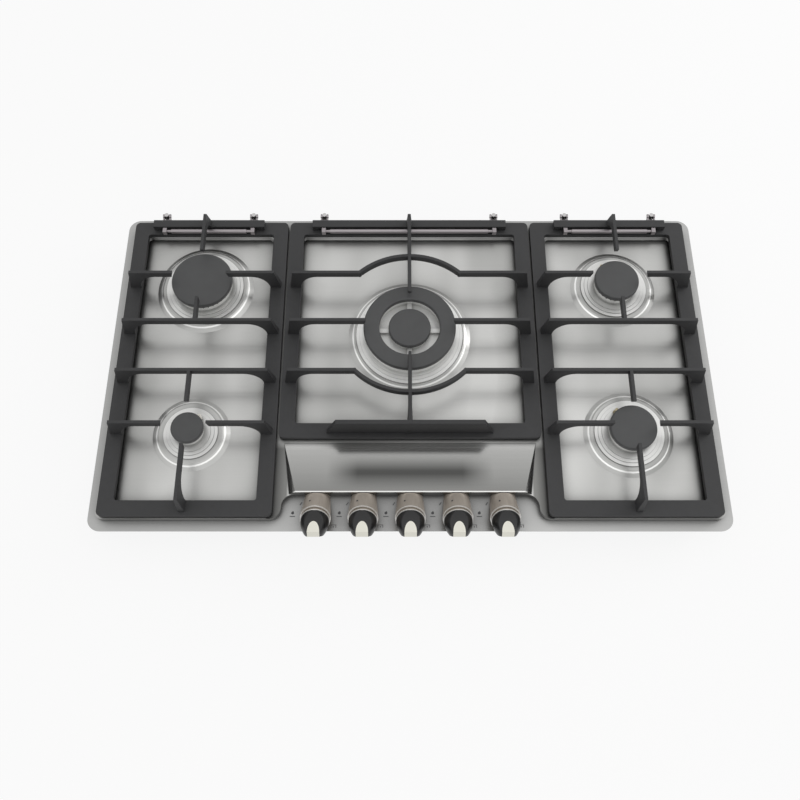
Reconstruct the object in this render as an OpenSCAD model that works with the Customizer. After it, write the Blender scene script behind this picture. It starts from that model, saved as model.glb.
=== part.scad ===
/* [Top plate] */
// Width of the top plate
plate_w = 900; // [890:1:940]
// Depth of the top plate
plate_d = 510; // [506:1:530]
// Radius of the outer corners
plate_corner = 18; // [10:1:30]
// Thickness of the steel sheet
sheet_t = 1; // [0.8:0.1:1.2]
// Height of the turned-down edge
plate_lip = 2.5; // [2:0.1:2.8]
// Width of the flat flange at each side
flange_side = 13; // [12:0.5:14]
// Width of the flat flange at the front and the rear
flange_end = 15; // [14:0.5:16]
// Height of the deck above the flange
deck_rise = 10; // [9:0.5:11]
// Depth of the wells below the deck
well_drop = 4.5; // [3:0.5:6]
// Plan width of a well's sloping wall
well_run = 4; // [2:0.5:5]
// Height of the round mounds above the floor of their well
mound_rise = 5.5; // [4:0.5:6]

/* [Control strip] */
// Depth of the flat strip from the front edge to the steep face
strip_depth = 50; // [49.5:0.1:51]
// Half of the strip's width
strip_half = 180; // [172:1:182]
// Height of the wedge above the deck at its ridge
wedge_rise = 7.5; // [5:0.5:9]
// Depth of the wedge's sloping top
wedge_run = 76; // [60:1:76]

/* [Knobs] */
// Distance between neighbouring knobs
knob_pitch = 65.2; // [60:0.1:67]
// Angle of the knob axes above the horizontal
knob_tilt = 35; // [34.5:0.1:36]
// Height of the bezel's rim centre above the strip
ring_z = 19.5; // [19.3:0.1:20.5]
// Distance from the front edge back to the bezel's rim centre
ring_set = 13.5; // [13:0.1:14]
// Diameter of the bezel at its rim
ring_d = 42; // [41.6:0.1:44]
// Length of a knob in front of the bezel's rim
knob_len = 34; // [32:0.5:38]
// Largest diameter of a knob
knob_d = 39.2; // [38:0.1:40]
// Distance that a knob pushes in
push_travel = 4; // [3:0.1:4]
// Diameter of a valve stem
stem_d = 8; // [6:0.5:9]

/* [Burners] */
// Distance of the side burners from the middle
burner_x = 315; // [310:1:318]
// Distance of the rear burners behind the middle
rear_y = 124; // [122:1:126]
// Distance of the front burners in front of the middle
front_y = 115; // [113:1:117]
// Distance of the centre burner behind the middle
mid_y = 43; // [41:1:45]
// Cap diameter of the rapid burner
rapid_cap_d = 91.5; // [88:0.5:94]
// Cap diameter of the auxiliary burner
aux_cap_d = 46; // [44:0.5:50]
// Cap diameter of the semi-rapid burners
semi_cap_d = 67; // [64:0.5:70]
// Cap diameter of the triple burner
triple_cap_d = 137; // [134:0.5:140]
// Opening in the triple burner's ring cap
triple_open_d = 90; // [86:0.5:92]
// Diameter of the triple burner's inner cap
triple_inner_d = 62.5; // [58:0.5:66]
// Height of a burner cup above its mound
cup_rise = 7; // [6:0.5:8]
// Height of a crown
crown_h = 13; // [12:0.5:14]
// Thickness of a cap
cap_h = 7; // [5:0.5:8]

/* [Grates] */
// Height of the bars' tops above the flange
bar_top = 58; // [56:0.5:64]
// Depth of a bar away from its legs
bar_depth = 10; // [8:0.5:12]
// Thickness of a bar along its top
bar_top_t = 4.5; // [3.5:0.1:6]
// Thickness of a leg at its foot
leg_t = 9.5; // [8:0.5:12]
// Width of a rail
rail_w = 22; // [20:0.5:23]
// Height of a rail's top above the flange
rail_top = 20; // [19.5:0.1:20.1]
// Thickness of a rail
rail_t = 7.5; // [6:0.1:7.5]
// Plan distance from the middle to a side grate's inner edge
side_in = 191; // [190:0.5:192]
// Half of the centre grate's width
mid_half = 187.5; // [186:0.5:188.5]
// Distance between the cross bars
bar_pitch = 80; // [78:0.5:80.5]

/* [Hinges] */
// Height of the grate pivots above the flange
pivot_z = 23; // [22.8:0.1:23.3]
// Diameter of a hinge post
post_d = 6.6; // [6:0.1:6.8]
// Diameter of a hinge pin
pin_d = 4; // [3:0.1:5]
// Diameter of a hinge rod
rod_d = 7.5; // [6:0.1:7.6]

/* [Burner box] */
// Distance from the plate's side edge in to the box
box_side_set = 28; // [26:0.5:29]
// Distance from the plate's front or rear edge in to the box
box_end_set = 20; // [19:0.5:22]
// Depth of the box's underside below the flange
box_low = 58; // [56:1:70]
// Thickness of the box's sheet
box_t = 1; // [0.8:0.1:1.2]

/* [Gas parts] */
// Diameter of the gas rail
rail_tube_d = 16; // [14:0.5:18]
// Diameter of a gas pipe
pipe_d = 8; // [6:0.5:9]
// Thread diameter of the gas inlet
inlet_d = 20.96; // [18:0.01:22]
// Length of the inlet's thread behind the box
inlet_len = 15; // [12:0.5:17]

/* [Hidden] */
$fn = 64;

// Shared values
cut = 1;
fit = 0.1;
run_fit = 0.05;
layer_t = 0.01;
air = 0.4;

// Places on the plate, with the flange's top at height zero
half_w = plate_w / 2;
half_d = plate_d / 2;
box_w = plate_w - 2 * box_side_set;
box_d = plate_d - 2 * box_end_set;
deck_half_w = half_w - flange_side;
deck_half_d = half_d - flange_end;
deck_corner = 10;
strip_y = strip_depth - half_d;
well_floor = deck_rise - well_drop;
mound_top = well_floor + mound_rise;
mound_run = 10;
well_corner = 6;
well_margin_side = 23;
well_margin_rear = 25;
side_well_in = 216;
side_well_out = deck_half_w - well_margin_side;
side_well_rear = deck_half_d - well_margin_rear;
side_well_front = well_margin_side - deck_half_d;
mid_well_half = 168;
mid_well_front_set = 105;
mid_well_front = strip_y + mid_well_front_set;
notch_corner = 18;
notch_flare = 16;
wedge_inset_front = 10;
wedge_inset_ridge = 20;
wedge_lean = 1;

// Knobs and valves, measured along each knob's own axis from the bezel's rim
ring_y = ring_set - half_d;
ring_r = ring_d / 2;
knob_count = 5;
knob_r = knob_d / 2;
trim_w = 1.4;
bezel_taper_share = 0.86;
bezel_len = 44;
bezel_bore_r = 7;
skirt_gap = 0.3;
skirt_inset = 1.8;
skirt_r = knob_r - skirt_inset;
skirt_back = 2.8;
skirt_front = 4.8;
trim_t = 1.5;
trim_proud = 0.6;
recess_spare = 0.5;
recess_back = skirt_back + push_travel + recess_spare;
nose_r = 9.3;
nose_up = 4.5;
nose_low = 3.5;
curve_steps = 10;
plan_power_share = 2;
plan_round_share = 0.8;
side_power_share = 1.3;
side_round_share = 1.1;
insert_half = 8.3;
insert_len = 13;
insert_depth = 1.5;
insert_proud = 0.25;
stem_r = stem_d / 2;
stem_in = 62;
stem_out = 14;
flat_cut = 1.2;
flat_set = stem_r - flat_cut;
flat_back = 8;
collar_r = 6;
collar_z = 43;
collar_t = 2.4;
valve_r = 11;
valve_front = 44;
valve_back = 84;
valve_nut_r = 7;
valve_nut_h = 4;
spigot_r = 3.5;
rail_along = 74;
rail_seat = 0.3;

// Gas rail, pipes and inlet
tube_r = rail_tube_d / 2;
tube_wall = 1.5;
pipe_r = pipe_d / 2;
elbow_extra = 0.6;
elbow_set = 8;
tube_off = valve_r + tube_r + rail_seat;
tube_y = ring_y + rail_along * cos(knob_tilt) - tube_off * sin(knob_tilt);
tube_z = ring_z - rail_along * sin(knob_tilt) - tube_off * cos(knob_tilt);
tube_left = 155;
inlet_set = 55;
inlet_x = half_w - inlet_set;
inlet_body_r = 13;
inlet_body_h = 12;
inlet_bore_r = 6;
inlet_collar = 1.5;
pipe_y = ring_y + (valve_back + elbow_set) * cos(knob_tilt);
pipe_z = ring_z - (valve_back + elbow_set) * sin(knob_tilt);
front_run = 35;
rear_run = 154;
pipe_stop = 6;

// Burners: place, cap diameter, rim diameter and mound diameter
rapid_rim_w = 13.25;
aux_rim_w = 16;
semi_rim_w = 16.5;
triple_rim_w = 11.5;
mound_edge_w = 15;
aux_edge_w = 17;
triple_edge_w = 12;
rapid_base_d = rapid_cap_d + 2 * rapid_rim_w;
rapid_mound_d = rapid_base_d + 2 * mound_edge_w;
aux_base_d = aux_cap_d + 2 * aux_rim_w;
aux_mound_d = aux_base_d + 2 * aux_edge_w;
semi_base_d = semi_cap_d + 2 * semi_rim_w;
semi_mound_d = semi_base_d + 2 * mound_edge_w;
triple_base_d = triple_cap_d + 2 * triple_rim_w;
triple_mound_d = triple_base_d + 2 * triple_edge_w;
burners = [
    [-burner_x, rear_y, rapid_cap_d, rapid_base_d, rapid_mound_d],
    [-burner_x, -front_y, aux_cap_d, aux_base_d, aux_mound_d],
    [0, mid_y, triple_cap_d, triple_base_d, triple_mound_d],
    [burner_x, rear_y, semi_cap_d, semi_base_d, semi_mound_d],
    [burner_x, -front_y, semi_cap_d, semi_base_d, semi_mound_d]
];
triple = 2;
ports = [36, 20, 52, 28, 28];
inner_ports = 24;
pipe_runs = [rear_run, front_run, 0, rear_run, front_run];
knob_of = [1, 0, 2, 3, 4];
cap_over = 2.5;
cap_round = 2.5;
cap_rib = 3;
cap_rib_t = 2;
throat_share = 0.5;
throat_t = 2;
throat_floor = 24;
boss_r = 11;
boss_low = 38;
floor_t = 3;
rim_step_run = 5;
rim_steps = 3;
rim_h = 2;
rim_step_h = 1.5;
crown_wall = 4;
crown_floor = 3;
spigot_drop = 5;
venturi_share = 0.5;
port_w = 1.6;
port_h = 4;
port_drop = 1.5;
triple_extra = 2;
triple_gap = 1.5;
bridge_w = 7;
bridge_h = 8;
hole_gap = 0.5;
spark_set = 4.7;
seat_edge = 0.8;
spark_r = 3.4;
spark_low = 8;
spark_top = 24;
spark_tip_r = 1;
spark_tip = 4;
spark_angle = 60;
sensor_r = 2.6;
sensor_angle = 120;
screw_r = 1.5;
screw_head_r = 2.4;
screw_head_h = 2.2;
screw_low = 5;
screw_shift = 0.4;
jet_r = 5;
jet_head_r = 6;
jet_head_h = 5;
jet_in = 9;
jet_hole_r = 0.8;

// Grates and hinges
rail_low = rail_top - rail_t;
side_set = 4.5;
front_set = 1.5;
rear_set = 2;
side_out = deck_half_w - side_set;
grate_front = front_set - deck_half_d;
grate_rear = deck_half_d - rear_set;
mid_front_y = -124.5;
frame_corner = 7;
window_corner = 4;
leg_lean = 5;
top_lean = 12;
leg_sink = 2;
arch_run = 26;
arch_steps = 8;
tip_back = 3;
bar_low = bar_top - bar_depth;
bar_back = 125;
bar_y = [bar_back, bar_back - bar_pitch, bar_back - 2 * bar_pitch, bar_back - 3 * bar_pitch];
rear_tip = 40;
front_tip = 31;
mid_tip_x = 64;
mid_tip_y = 49;
ring_bar_r = 111;
knuckle_extra = 0.3;
rear_bar_low = 25;
rear_bar_t = 5;
rear_bar_set = 1.8;
rear_bar_back = grate_rear - rear_bar_set;
rear_bar_w = 12.4;
rear_bar_front = rear_bar_back - rear_bar_w;
rear_bar_top = rear_bar_low + rear_bar_t;
rear_bar_lean = 1;
rear_top_lean = 8;
side_bar_half = 87;
mid_bar_half = 152;
bar_block = 10;
plate_bar_t = 6;
plate_bar_half = 104;
plate_bar_foot = 120;
foot_r = 7;
foot_gap = 0.2;
foot_h = rail_low - deck_rise - foot_gap;
foot_plug_r = 3;
foot_plug_h = 3;
foot_set_rear = 9;
foot_set_front = 8.5;
foot_set_out = 7;
foot_set_in = 11;
foot_set_mid = 7.5;
post_set = 7.5;
post_y = half_d - post_set;
side_arm = 69;
mid_arm = 134;
rod_y = rear_bar_front - rod_d / 2 - air;
rod_gap = 0.25;
rod_z = rail_top + rod_d / 2 + rod_gap;
rod_thin_r = 2.5;
rod_thin_len = 7;
arm_w = 6;
arm_gap = 0.5;
arm_low = rail_top + arm_gap;
arm_top = rear_bar_low - air;
arm_block = 8.3;
arm_block_top = 28.4;
cheek_t = 2.2;
eye_r = 4;
slot_end = 7;
post_over = 5;
post_top = pivot_z + post_over;
post_base_r = 6;
post_base_h = 2;
pin_out = 0.5;
bush_r = 4.25;
bush_low = 13;
bush_top = 18;

// Box, fixings and electrical parts
box_lip = 11;
stud_r = 2.5;
stud_out = 6;
stud_x = box_w / 2 + stud_out;
stud_len = 9;
stud_y = [-150, 0, 150];
nut_r = 4.6;
nut_h = 4;
seal_in = 1;
seal_out = 4;
seal_t = 2;
clamp_y = 160;
clamp_w = 20;
clamp_reach = 24;
clamp_t = 2.5;
clamp_low = 56;
clamp_high = 36;
clamp_screw_z = 48;
clamp_screw_r = 2;
clamp_head_r = 4;
clamp_head_h = 2.5;
clamp_screw_in = 6;
spark_box = [90, 40, 30];
spark_box_at = [-110, 170];
lead_box = [60, 32, 28];
lead_box_x = -370;
gland_r = 8;
gland_nut_r = 10;
gland_nut_h = 5;
gland_out = 12;
gland_bore_r = 4;
vent_w = 50;
vent_h = 4;
vent_pitch = 80;
vent_count = 5;
vent_z = -20;

// Place of the part's origin: on the underside, in the middle of the width and the depth
front_reach = ring_y - (knob_len + insert_proud) * cos(knob_tilt) - nose_low * sin(knob_tilt);
frame_y = -(half_d + front_reach) / 2;

function cap_r(i) = burners[i][2] / 2;
function rim_r(i) = burners[i][3] / 2;
function mound_r(i) = burners[i][4] / 2;
function crown_r(i) = cap_r(i) - cap_over;
function throat_r(i) = throat_share * cap_r(i);
function screw_at(i) = (throat_r(i) + throat_t + crown_r(i)) / 2 + screw_shift;
function spark_at(i) = crown_r(i) + spark_set;
function crown_top(i) = mound_top + cup_rise + crown_h + (i == triple ? triple_extra : 0);
function knob_x(k) = (k - (knob_count - 1) / 2) * knob_pitch;
function shrink(s, power, roundness) = pow(1 - pow(s, power), roundness);

// Everything is drawn with the flange's top at height zero and then stood on its underside
module placed() {
    translate([0, frame_y, box_low])
        children();
}

// Children's Z axis runs outwards along knob k's axis, from the bezel's rim
module on_knob(k) {
    translate([knob_x(k), ring_y, ring_z])
        rotate([90 - knob_tilt, 0, 0])
            children();
}

module at_burner(i) {
    translate([burners[i][0], burners[i][1], 0])
        children();
}

// A cylinder between two heights
module drum(r, low, high) {
    translate([0, 0, low])
        cylinder(r = r, h = high - low);
}

module rounded_rect(w, d, r) {
    square([w - 2 * r, d], center = true);
    square([w, d - 2 * r], center = true);
    for (x = [-1, 1], y = [-1, 1])
        translate([x * (w / 2 - r), y * (d / 2 - r)])
            circle(r = r);
}

// Plan of the strip's notch in the deck, grown by o
module notch_plan(o) {
    front = -half_d;
    inner = strip_half - notch_corner;
    translate([-strip_half - o, front])
        square([2 * (strip_half + o), strip_y - notch_corner - front]);
    translate([-inner, front])
        square([2 * inner, strip_y + o - front]);
    for (x = [-1, 1])
        translate([x * inner, strip_y - notch_corner])
            circle(r = notch_corner + o);
    for (x = [-1, 1])
        difference() {
            translate([x * (strip_half + notch_flare / 2), (front - deck_half_d + notch_flare) / 2])
                square([notch_flare, notch_flare - deck_half_d - front], center = true);
            translate([x * (strip_half + notch_flare), notch_flare - deck_half_d])
                circle(r = notch_flare - o);
        }
}

module deck_plan(o) {
    difference() {
        rounded_rect(2 * (deck_half_w - o), 2 * (deck_half_d - o), deck_corner - o);
        notch_plan(o);
    }
}

// The space of a well, grown by o and lowered by o
module well_space(x0, x1, y0, y1, o) {
    w = x1 - x0 + 2 * o;
    d = y1 - y0 + 2 * o;
    translate([(x0 + x1) / 2, (y0 + y1) / 2, 0])
        hull() {
            translate([0, 0, well_floor - o])
                linear_extrude(layer_t)
                    rounded_rect(w, d, well_corner + o, $fn = 32);
            translate([0, 0, deck_rise - o])
                linear_extrude(layer_t)
                    rounded_rect(w + 2 * well_run, d + 2 * well_run, well_corner + well_run + o, $fn = 32);
        }
}

// The wedge over the deck's front, with its sides, top and face drawn in by o
module wedge(o) {
    back = strip_y + wedge_run;
    low = deck_rise - o;
    face = strip_y + o;
    ridge = strip_half - wedge_inset_ridge - o;
    foot = strip_half - wedge_inset_front - o;
    tail = strip_half - o;
    polyhedron(
        points = [
            [-tail, back, low], [tail, back, low], [foot, face, low], [-foot, face, low],
            [-ridge, face + wedge_lean, low + wedge_rise], [ridge, face + wedge_lean, low + wedge_rise],
            [-tail, back, 0], [tail, back, 0], [foot, face, 0], [-foot, face, 0]
        ],
        faces = [
            [0, 1, 5, 4], [1, 2, 5], [0, 4, 3], [3, 4, 5, 2],
            [0, 6, 7, 1], [1, 7, 8, 2], [2, 8, 9, 3], [3, 9, 6, 0], [6, 9, 8, 7]
        ]);
}

// The plate's outer form for o of zero, and the hollow below the sheet for o of one sheet
module plate_mass(o) {
    low = o > 0 ? -plate_lip - cut : -plate_lip;
    translate([0, 0, low])
        linear_extrude(-o - low)
            rounded_rect(plate_w - 2 * o, plate_d - 2 * o, plate_corner - o);
    difference() {
        union() {
            translate([0, 0, -plate_lip])
                linear_extrude(plate_lip + deck_rise - o)
                    deck_plan(o);
            wedge(o);
        }
        well_space(side_well_in, side_well_out, side_well_front, side_well_rear, o);
        well_space(-side_well_out, -side_well_in, side_well_front, side_well_rear, o);
        well_space(-mid_well_half, mid_well_half, mid_well_front, side_well_rear, o);
    }
    for (i = [0 : 4])
        at_burner(i) {
            drum(mound_r(i) - o, -plate_lip, well_floor - o);
            translate([0, 0, well_floor - o])
                cylinder(r1 = mound_r(i) - o, r2 = mound_r(i) - mound_run - o, h = mound_rise);
        }
}

module stem_opening(k) {
    on_knob(k)
        drum(bezel_bore_r, -valve_front - elbow_set, -recess_back);
}

module top_plate() {
    color("#c4c4c2")
        placed() {
            difference() {
                plate_mass(0);
                plate_mass(sheet_t);
                for (i = [0 : 4])
                    at_burner(i) {
                        drum(throat_r(i) + throat_t + hole_gap, 0, mound_top + cut);
                        for (a = [spark_angle, sensor_angle])
                            rotate(a)
                                translate([spark_at(i), 0, 0])
                                    drum(spark_r + hole_gap, 0, mound_top + cut);
                        for (a = [0, 180])
                            rotate(a)
                                translate([screw_at(i), 0, 0])
                                    drum(screw_r + fit, 0, mound_top + cut);
                    }
                for (k = [0 : knob_count - 1])
                    stem_opening(k);
            }
            for (x = [-1, 1], y = stud_y)
                translate([x * stud_x, y, 0])
                    drum(stud_r, deck_rise - sheet_t - stud_len, deck_rise - sheet_t / 2);
        }
}

module burner_box() {
    top = deck_rise - sheet_t;
    color("#a9acae")
        placed()
            difference() {
                union() {
                    translate([-box_w / 2, -box_d / 2, -box_low])
                        cube([box_w, box_d, box_low + top]);
                    translate([-box_w / 2 - box_lip, -box_d / 2, top - box_t])
                        cube([box_w + 2 * box_lip, box_d, box_t]);
                }
                translate([box_t - box_w / 2, box_t - box_d / 2, box_t - box_low])
                    cube([box_w - 2 * box_t, box_d - 2 * box_t, box_low + top]);
                translate([-strip_half - notch_flare, -box_d / 2 - cut, -sheet_t])
                    cube([2 * (strip_half + notch_flare), box_t + 2 * cut, top + sheet_t + cut]);
                for (x = [-1, 1], y = stud_y)
                    translate([x * stud_x, y, 0])
                        drum(stud_r + fit, 0, top + cut);
                for (x = [-1, 1], y = [-1, 1])
                    translate([x * box_w / 2, y * clamp_y, -clamp_screw_z])
                        rotate([0, 90, 0])
                            drum(clamp_screw_r + fit, -box_t - cut, box_t + cut);
                translate([inlet_x, box_d / 2, tube_z])
                    rotate([90, 0, 0])
                        drum(inlet_d / 2 + inlet_collar + fit, -cut, box_t + cut);
                translate([lead_box_x, box_d / 2, lead_z()])
                    rotate([90, 0, 0])
                        drum(gland_r + fit, -cut, box_t + cut);
                for (n = [0 : vent_count - 1])
                    translate([(n - (vent_count - 1) / 2) * vent_pitch, box_d / 2, vent_z])
                        cube([vent_w, 2 * box_t + 2 * cut, vent_h], center = true);
            }
}

function lead_z() = box_t - box_low + lead_box[2] / 2;

module worktop_seal() {
    color("#2b2b2b")
        placed()
            translate([0, 0, -sheet_t - seal_t])
                linear_extrude(seal_t)
                    difference() {
                        rounded_rect(plate_w - 2 * seal_out, plate_d - 2 * seal_out, plate_corner - seal_out);
                        rounded_rect(2 * (deck_half_w + seal_in), 2 * (deck_half_d + seal_in), deck_corner);
                    }
}

module worktop_clamps() {
    color("#b4b6b8")
        placed()
            for (x = [0, 1], y = [-1, 1])
                mirror([x, 0, 0])
                    translate([box_w / 2, y * clamp_y - clamp_w / 2, 0])
                        difference() {
                            union() {
                                translate([0, 0, -clamp_low])
                                    cube([clamp_t, clamp_w, clamp_low - clamp_high]);
                                translate([0, 0, -clamp_high - clamp_t])
                                    cube([clamp_reach, clamp_w, clamp_t]);
                            }
                            translate([0, clamp_w / 2, -clamp_screw_z])
                                rotate([0, 90, 0])
                                    drum(clamp_screw_r + fit, -cut, clamp_t + cut);
                        }
}

module clamp_screws() {
    color("#8f9294")
        placed()
            for (x = [0, 1], y = [-1, 1])
                mirror([x, 0, 0])
                    translate([box_w / 2 + clamp_t, y * clamp_y, -clamp_screw_z])
                        rotate([0, 90, 0]) {
                            drum(clamp_head_r, 0, clamp_head_h);
                            drum(clamp_screw_r, -clamp_t - clamp_screw_in, clamp_head_h / 2);
                        }
}

module stud_nuts() {
    top = deck_rise - sheet_t - box_t;
    color("#9b9da0")
        placed()
            for (x = [-1, 1], y = stud_y)
                translate([x * stud_x, y, top - nut_h])
                    difference() {
                        cylinder(r = nut_r, h = nut_h, $fn = 6);
                        drum(stud_r + fit, -cut, nut_h + cut);
                    }
}

// Gas parts
module gas_rail() {
    color("#9ea1a3")
        placed()
            difference() {
                union() {
                    translate([-tube_left, tube_y, tube_z])
                        rotate([0, 90, 0])
                            cylinder(r = tube_r, h = tube_left + inlet_x);
                    translate([inlet_x, tube_y, tube_z])
                        sphere(r = tube_r + elbow_extra);
                    translate([inlet_x, tube_y, tube_z])
                        rotate([-90, 0, 0])
                            cylinder(r = tube_r, h = box_d / 2 - box_t - inlet_body_h - tube_y);
                }
                translate([tube_wall - tube_left, tube_y, tube_z])
                    rotate([0, 90, 0])
                        cylinder(r = tube_r - tube_wall, h = tube_left + inlet_x - tube_wall);
                translate([inlet_x, tube_y, tube_z])
                    rotate([-90, 0, 0])
                        cylinder(r = tube_r - tube_wall, h = box_d / 2 - tube_y);
                for (k = [0 : knob_count - 1])
                    on_knob(k)
                        translate([0, 0, -rail_along])
                            rotate([90, 0, 0])
                                drum(spigot_r + fit, 0, tube_off);
            }
}

module gas_inlet() {
    inner = box_d / 2 - box_t;
    outer = box_d / 2;
    color("#c9a94f")
        placed()
            translate([inlet_x, 0, tube_z])
                rotate([-90, 0, 0])
                    difference() {
                        union() {
                            translate([0, 0, inner - inlet_body_h])
                                cylinder(r = inlet_body_r, h = inlet_body_h, $fn = 6);
                            drum(inlet_d / 2, inner - cut, outer + inlet_len);
                            drum(inlet_d / 2 + inlet_collar, inner - cut, outer);
                        }
                        drum(inlet_bore_r, inner - inlet_body_h - cut, outer + inlet_len + cut);
                    }
}

module tube_between(a, b, r) {
    d = b - a;
    translate(a)
        rotate([0, acos(d[2] / norm(d)), atan2(d[1], d[0])])
            cylinder(r = r, h = norm(d));
}

// Corner points of burner i's pipe, from its valve to its injector
function pipe_points(i) =
    let (k = knob_of[i],
         start = valve_back + valve_nut_h,
         from = [knob_x(k), ring_y + start * cos(knob_tilt), ring_z - start * sin(knob_tilt)],
         bend = [knob_x(k), pipe_y, pipe_z],
         end = [burners[i][0], burners[i][1] - pipe_stop, pipe_z])
    i == triple ? [from, bend, end]
                : [from, bend, [knob_x(k), run_y(i), pipe_z], [burners[i][0], run_y(i), pipe_z], end];
function run_y(i) = burners[i][1] - pipe_runs[i];

module gas_pipes() {
    color("#b9bbbd")
        placed()
            for (i = [0 : 4]) {
                p = pipe_points(i);
                for (n = [0 : len(p) - 2])
                    tube_between(p[n], p[n + 1], pipe_r);
                for (n = [1 : len(p) - 2])
                    translate(p[n])
                        sphere(r = pipe_r + elbow_extra);
            }
}

module injectors() {
    color("#c8a44a")
        placed()
            for (i = [0 : 4])
                at_burner(i)
                    difference() {
                        union() {
                            drum(jet_r - fit, -throat_floor - jet_in, -throat_floor);
                            drum(jet_head_r, -throat_floor, jet_head_h - throat_floor);
                        }
                        drum(jet_hole_r, -throat_floor - jet_in - cut, jet_head_h - throat_floor + cut);
                    }
}

module gas_valves() {
    color("#a7a9ab")
        placed()
            for (k = [0 : knob_count - 1])
                on_knob(k)
                    difference() {
                        union() {
                            drum(valve_r, -valve_back, -valve_front);
                            drum(valve_nut_r, -valve_back - valve_nut_h, -valve_back + cut);
                            translate([0, 0, -rail_along])
                                rotate([90, 0, 0])
                                    drum(spigot_r, 0, tube_off - tube_r + tube_wall);
                        }
                        drum(stem_r + run_fit, -stem_in - fit, cut - valve_front);
                    }
}

// Electrical parts
module ignition_unit() {
    color("#e4e2dc")
        placed()
            translate([spark_box_at[0], spark_box_at[1], box_t - box_low]) {
                translate([-spark_box[0] / 2, -spark_box[1] / 2, 0])
                    cube(spark_box);
                for (n = [0 : 4])
                    translate([(n - 2) * spark_box[0] / 6, 0, 0])
                        drum(spark_r, spark_box[2] - cut, spark_box[2] + spark_tip);
            }
}

module terminal_box() {
    wall = box_d / 2;
    color("#38393a")
        placed()
            difference() {
                union() {
                    translate([lead_box_x - lead_box[0] / 2, wall - box_t - lead_box[1], box_t - box_low])
                        cube(lead_box);
                    translate([lead_box_x, wall, lead_z()])
                        rotate([-90, 0, 0]) {
                            drum(gland_r, -box_t - cut, gland_out);
                            drum(gland_nut_r, 0, gland_nut_h);
                        }
                }
                translate([lead_box_x, wall, lead_z()])
                    rotate([-90, 0, 0])
                        drum(gland_bore_r, -box_t - lead_box[1] / 2, gland_out + cut);
            }
}

module electrodes() {
    color("#f2efe8")
        placed()
            for (i = [0 : 4])
                at_burner(i)
                    rotate(spark_angle)
                        translate([spark_at(i), 0, 0]) {
                            drum(spark_r, -spark_low, spark_top);
                            drum(spark_tip_r, spark_top - cut, spark_top + spark_tip);
                        }
}

module flame_sensors() {
    color("#b3a888")
        placed()
            for (i = [0 : 4])
                at_burner(i)
                    rotate(sensor_angle)
                        translate([spark_at(i), 0, 0]) {
                            drum(spark_r, -spark_low, mound_top + cup_rise);
                            drum(sensor_r, mound_top, spark_top + spark_tip / 2);
                        }
}

// Burners
module burner_cup(i) {
    top = mound_top + cup_rise;
    color("#d2d2cf")
        placed()
            at_burner(i)
                difference() {
                    union() {
                        for (n = [0 : rim_steps - 1])
                            drum(rim_r(i) - n * rim_step_run, mound_top, mound_top + rim_h + n * rim_step_h);
                        drum(crown_r(i) + seat_edge, mound_top, top);
                        drum(throat_r(i) + throat_t, -throat_floor - floor_t, mound_top + rim_h / 2);
                        drum(boss_r, -boss_low, -throat_floor - floor_t / 2);
                    }
                    drum(throat_r(i), -throat_floor, top + cut);
                    drum(jet_r, -throat_floor - jet_in - cut, cut - throat_floor);
                    translate([0, 0, pipe_z])
                        rotate([90, 0, 0])
                            drum(pipe_r + fit, 0, boss_r + cut);
                    for (a = [spark_angle, sensor_angle])
                        rotate(a)
                            translate([spark_at(i), 0, 0])
                                drum(spark_r + fit, mound_top - cut, top + cut);
                    for (a = [0, 180])
                        rotate(a)
                            translate([screw_at(i), 0, 0]) {
                                drum(screw_r + fit, mound_top - cut, top + cut);
                                drum(screw_head_r + fit, top - screw_head_h, top + cut);
                            }
                }
}

module burner_screws() {
    top = mound_top + cup_rise;
    color("#9a9c9e")
        placed()
            for (i = [0 : 4], a = [0, 180])
                at_burner(i)
                    rotate(a)
                        translate([screw_at(i), 0, 0]) {
                            drum(screw_head_r, top - screw_head_h, top - fit);
                            drum(screw_r, mound_top - screw_low, top - screw_head_h / 2);
                        }
}

// A ring of ports through a wall that ends at radius r, below the height top
module port_ring(count, r, top) {
    for (n = [0 : count - 1])
        rotate((n + 1 / 2) * 360 / count)
            translate([r - crown_wall - cut, -port_w / 2, top - port_drop - port_h])
                cube([crown_wall + 2 * cut, port_w, port_h]);
}

module crown_single(i) {
    low = mound_top + cup_rise;
    top = crown_top(i);
    color("#b9bab8")
        placed()
            at_burner(i)
                difference() {
                    union() {
                        drum(crown_r(i), low, top);
                        drum(throat_r(i) - air, low - spigot_drop, low + cut);
                    }
                    drum(crown_r(i) - crown_wall, low + crown_floor, top + cut);
                    drum(venturi_share * throat_r(i), low - spigot_drop - cut, low + crown_floor + cut);
                    port_ring(ports[i], crown_r(i), top);
                }
}

module crown_triple() {
    low = mound_top + cup_rise;
    top = crown_top(triple);
    inner_top = low + crown_h;
    inner_r = triple_inner_d / 2 - cap_over;
    gap_r = triple_open_d / 2 + triple_gap;
    color("#d0d0cc")
        placed()
            at_burner(triple)
                difference() {
                    union() {
                        drum(crown_r(triple), low, low + crown_floor);
                        drum(throat_r(triple) - air, low - spigot_drop, low + cut);
                        difference() {
                            drum(crown_r(triple), low, top);
                            drum(gap_r, low - cut, top + cut);
                        }
                        drum(inner_r, low, inner_top);
                        for (a = [0, 90])
                            rotate(a)
                                translate([-gap_r - cut, -bridge_w / 2, low])
                                    cube([2 * (gap_r + cut), bridge_w, bridge_h]);
                    }
                    difference() {
                        drum(crown_r(triple) - crown_wall, low + crown_floor, top + cut);
                        drum(gap_r + crown_wall, low, top + 2 * cut);
                    }
                    drum(inner_r - crown_wall, low + crown_floor, inner_top + cut);
                    drum(venturi_share * throat_r(triple), low - spigot_drop - cut, low + crown_floor + cut);
                    port_ring(ports[triple], crown_r(triple), top);
                    port_ring(inner_ports, inner_r, inner_top);
                }
}

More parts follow.
